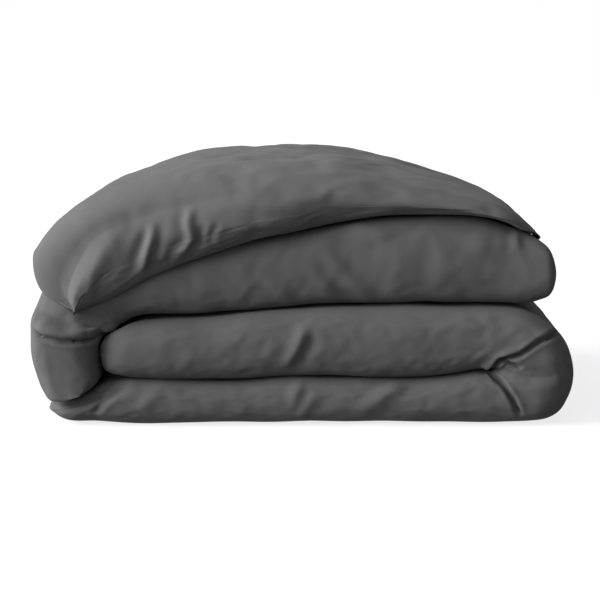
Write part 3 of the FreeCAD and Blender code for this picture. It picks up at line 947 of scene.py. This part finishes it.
@dataclass
class Duvet:
    """The folded duvet: its padded lengths, their creases and their finishes."""

    finishes: Finishes = field(default_factory=Finishes)

    def base(self) -> BaseLength:
        """Inner layer, lower right fold and bottom layer, riding on the base."""
        front = Side.FRONT
        return BaseLength(
            "base_layers", BASE_RIBS, Edges(shoulder=0.034, belly=0.031),
            nodes=("inner_layer", "lower_right_fold", "bottom_layer"), creases=(
                Crease(front, ((-188, 52), (-212, 40), (-240, 29), (-270, 20)), 7, 7, 0.1, 0.0, 0.25),
                Crease(front, ((-206, 40), (-221, 28), (-236, 9)), 3.0, 3.6, 0.4, 0.0, 0.3),
                Crease(front, ((192, 60), (205, 60), (221, 46), (232, 29), (241, 8)),
                       9, 2.4, 0.1, 0.8, 0.15),
                Crease(front, ((194, 60), (205, 60.5), (211, 65), (215, 72), (220, 75), (239, 81),
                               (260, 95.5), (281, 103), (306, 109)), 9, 2.4, 0.1, 2.0, 0.1),
                Crease(front, ((213, 77), (226, 71), (242, 65)), 6, 2.4, 0.1, 1.0, 0.2),
                Crease(front, ((222, 63), (250, 56), (290, 59)), 2.2, 7, 0.5, 1.0),
                Crease(front, ((6, 118), (-3, 97), (-10, 82), (-27, 60)), -2.6, 6, 0.5),
                Crease(front, ((14, 112), (7, 92), (-2, 76), (-12, 62)), 2.2, 7, 0.2),
                Crease(front, ((2, 54), (-7, 38), (-16, 14)), -1.8, 6, 0.5),
                Crease(front, ((16, 44), (6, 26), (-8, 6)), -1.8, 6, 0.5),
                Crease(front, ((118, 50), (98, 40), (80, 27), (58, 19)), -2.4, 7, 0.5),
                Crease(front, ((-150, 46), (-168, 34), (-184, 12)), -1.6, 7, 0.5),
            ))

    def middle(self) -> MiddleLength:
        """Left fold, middle layer and upper right fold, from the base to the middle."""
        front = Side.FRONT
        return MiddleLength(
            "middle_layers", MIDDLE_RIBS,
            Edges(shoulder=0.030, belly=0.030, front=-0.247, back=0.252), seed=2,
            start_corner=0.005, end_corner=0.012, bodies=(Body.BASE, Body.MIDDLE),
            blend=((-0.26, 0.0, 0.080), (-0.26, 0.0, 0.118)),
            nodes=("left_fold_lower", "left_fold_upper", "middle_layer", "upper_right_fold"),
            slack=0.55, creases=(
                Crease(front, ((-300, 108), (-286, 101), (-262, 96.5), (-237, 96.5), (-219, 101),
                               (-200, 107)), 12, 2.6, 0.1, 6.0, 0.12),
                Crease(front, ((-262, 124), (-250, 112), (-236, 104)), -2.0, 7, 0.4),
                Crease(front, ((14, 196), (34, 180), (56, 158), (84, 136)), -2.0, 8, 0.6),
                Crease(front, ((4, 176), (20, 160), (34, 146)), -1.4, 7, 0.6),
                Crease(front, ((-54, 172), (-30, 152), (-2, 134)), -1.6, 8, 0.6),
                Crease(front, ((40, 226), (70, 214), (110, 208)), -2.0, 8, 0.6),
                Crease(front, ((238, 216), (234, 206), (238, 192)), -2.0, 5, 0.5),
                Crease(front, ((160, 214), (200, 200), (240, 196)), -1.5, 10, 0.5),
            ))

    def flap(self) -> FlapLength:
        """Top flap, from the middle to its own body."""
        front = Side.FRONT
        return FlapLength(
            "flap_layers", FLAP_RIBS,
            Edges(shoulder=0.125, belly=0.024, widest=-0.42, roundness=2.1, under=1.6,
                  front=-0.2665, back=0.263),
            seed=3, start_corner=0.012, end_corner=0.07, edge_steps=84, flat_steps=64,
            tip_depth=0.08, spacing=0.0036, bodies=(Body.MIDDLE, Body.FLAP),
            blend=((0.262, 0.0, 0.21), (0.225, 0.0, 0.21)), nodes=("top_flap", "hanging_corner"),
            creases=(
                Crease(front, ((-164, 230), (-165, 212), (-171, 193), (-178, 166)), -3.4, 4.5, 0.55, 0, 0.3),
                Crease(front, ((-176, 226), (-178, 208), (-185, 188), (-190, 172)), 3.0, 6.0, 0.2, 0, 0.35),
                Crease(front, ((-122, 248), (-126, 226), (-121, 208), (-130, 197), (-146, 184)),
                       -3.4, 4.5, 0.55, 0, 0.3),
                Crease(front, ((-108, 228), (-112, 212), (-124, 196)), 2.6, 5.0, 0.2, 0, 0.35),
                Crease(front, ((-92, 228), (-101, 213), (-102, 198)), 2.6, 3.6, 0.4, 0, 0.3),
                Crease(front, ((-146, 204), (-154, 190), (-158, 178)), -1.6, 4.5, 0.4),
                Crease(front, ((-204, 222), (-214, 196), (-228, 162)), -1.4, 8, 0.6),
                Crease(front, ((-218, 206), (-228, 180), (-238, 150)), -1.2, 8, 0.6),
                Crease(front, ((-60, 244), (-52, 226), (-44, 214)), 1.2, 8, 0.4),
            ))

    def build(self) -> None:
        """Make every length; those on one body hang on the frame."""
        for length in (self.base(), self.middle(), self.flap()):
            length.build(self.finishes)


@dataclass
class Closure:
    """Placket, buttons and care label at the hidden end, which keep the frame's own shapes."""

    finishes: Finishes = field(default_factory=Finishes)

    def dress(self, nodes: dict[str, bpy.types.Object]) -> None:
        """Give the frame's small parts their finishes.

        Args:
            nodes: The frame's nodes.
        """
        for name, finish in (
                ("closure_placket", self.finishes.cover), ("closure_buttons", self.finishes.button),
                ("care_label", self.finishes.label)):
            nodes[name].data.materials.clear()
            nodes[name].data.materials.append(finish.material())


@dataclass
class Studio:
    """Pale floor, soft lights and the camera."""

    distance: float = 2.4
    aim: tuple[float, float, float] = (-0.004, 0.0, 0.107)
    lens: float = 117.0
    key_from: tuple[float, float, float] = (-0.90, -0.20, 0.37)
    key_strength: float = 6.2
    key_spread: float = 50.0
    front_place: tuple[float, float, float] = (-0.7, -2.6, 1.0)
    front_size: float = 2.0
    front_power: float = 10.5
    floor_grey: float = 0.25
    floor_glow: float = 0.78
    sky_rises: tuple[tuple[str, float, float, float, float], ...] = (
        ("Z", -0.3, 0.4, 0.19, 0.52), ("X", 1.0, -0.6, 0.18, 1.20))

    def build(self) -> None:
        """Make the floor, the lights, the sky and the camera."""
        self._floor()
        self._sun("key", self.key_from, self.key_strength, self.key_spread)
        self._light("soft_front", self.front_place, self.front_size, self.front_power)
        world = bpy.data.worlds.new("soft_sky")
        world.use_nodes = True
        tree = world.node_tree
        light = tree.nodes["Background"]
        backdrop = tree.nodes.new("ShaderNodeBackground")
        for background in (light, backdrop):
            background.inputs["Color"].default_value = (1.0, 1.0, 1.0, 1.0)
        direction = tree.nodes.new("ShaderNodeTexCoord")
        axes = tree.nodes.new("ShaderNodeSeparateXYZ")
        tree.links.new(direction.outputs["Generated"], axes.inputs["Vector"])
        strengths = []
        for axis, low, high, dim, bright in self.sky_rises:
            share = tree.nodes.new("ShaderNodeMapRange")
            share.inputs["From Min"].default_value = low
            share.inputs["From Max"].default_value = high
            share.inputs["To Min"].default_value = dim
            share.inputs["To Max"].default_value = bright
            tree.links.new(axes.outputs[axis], share.inputs["Value"])
            strengths.append(share)
        product = tree.nodes.new("ShaderNodeMath")
        product.operation = "MULTIPLY"
        tree.links.new(strengths[0].outputs["Result"], product.inputs[0])
        tree.links.new(strengths[1].outputs["Result"], product.inputs[1])
        tree.links.new(product.outputs[0], light.inputs["Strength"])
        path = tree.nodes.new("ShaderNodeLightPath")
        mix = tree.nodes.new("ShaderNodeMixShader")
        tree.links.new(path.outputs["Is Camera Ray"], mix.inputs["Fac"])
        tree.links.new(light.outputs["Background"], mix.inputs[1])
        tree.links.new(backdrop.outputs["Background"], mix.inputs[2])
        tree.links.new(mix.outputs["Shader"], tree.nodes["World Output"].inputs["Surface"])
        bpy.context.scene.world = world
        bpy.context.scene.view_settings.view_transform = "Standard"
        self._camera()

    def _floor(self) -> None:
        """Wide pale floor under the stack."""
        work = bmesh.new()
        bmesh.ops.create_grid(work, x_segments=2, y_segments=2, size=FLOOR_SIZE)
        mesh = bpy.data.meshes.new("floor")
        work.to_mesh(mesh)
        work.free()
        floor = bpy.data.objects.new("floor", mesh)
        floor.location = (0.0, 0.0, -FLOOR_DROP)
        material = bpy.data.materials.new("pale_floor")
        material.use_nodes = True
        shader = material.node_tree.nodes["Principled BSDF"]
        shader.inputs["Base Color"].default_value = (*(self.floor_grey,) * 3, 1.0)
        shader.inputs["Roughness"].default_value = 0.9
        shader.inputs["Emission Color"].default_value = (1.0, 1.0, 1.0, 1.0)
        shader.inputs["Emission Strength"].default_value = self.floor_glow
        mesh.materials.append(material)
        bpy.context.scene.collection.objects.link(floor)
        floor.visible_diffuse = False

    @staticmethod
    def _sun(name: str, origin: tuple[float, float, float], strength: float, spread: float) -> None:
        """Soft sun.

        Args:
            name: Light's name.
            origin: Direction that it comes from.
            strength: Watts per square metre.
            spread: Angle it fills in the sky, in degrees.
        """
        data = bpy.data.lights.new(name, "SUN")
        data.energy = strength
        data.angle = math.radians(spread)
        lamp = bpy.data.objects.new(name, data)
        lamp.rotation_euler = (-Vector(origin)).to_track_quat("-Z", "Y").to_euler()
        bpy.context.scene.collection.objects.link(lamp)

    @staticmethod
    def _light(name: str, place: tuple[float, float, float], size: float, power: float) -> None:
        """Square area light aimed at the stack.

        Args:
            name: Light's name.
            place: Where it hangs.
            size: Edge length.
            power: Watts.
        """
        data = bpy.data.lights.new(name, "AREA")
        data.size = size
        data.energy = power
        lamp = bpy.data.objects.new(name, data)
        lamp.location = place
        aim = Vector(LAMP_AIM) - Vector(place)
        lamp.rotation_euler = aim.to_track_quat("-Z", "Y").to_euler()
        bpy.context.scene.collection.objects.link(lamp)

    def _camera(self) -> None:
        """Camera in front of the stack, a little above it."""
        data = bpy.data.cameras.new("camera")
        data.lens = self.lens
        camera = bpy.data.objects.new("camera", data)
        aim = Vector(self.aim)
        back = Vector((0.0, -math.cos(VIEW_ELEVATION), math.sin(VIEW_ELEVATION)))
        camera.location = aim + back * self.distance
        camera.rotation_euler = (-back).to_track_quat("-Z", "Y").to_euler()
        bpy.context.scene.collection.objects.link(camera)
        bpy.context.scene.camera = camera


def main() -> None:
    """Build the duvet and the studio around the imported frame."""
    logging.basicConfig(level=logging.INFO, format="%(name)s %(message)s")
    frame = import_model()
    Studio().build()
    Duvet().build()
    Closure().dress(frame["nodes"])


if __name__ == "__main__":
    main()
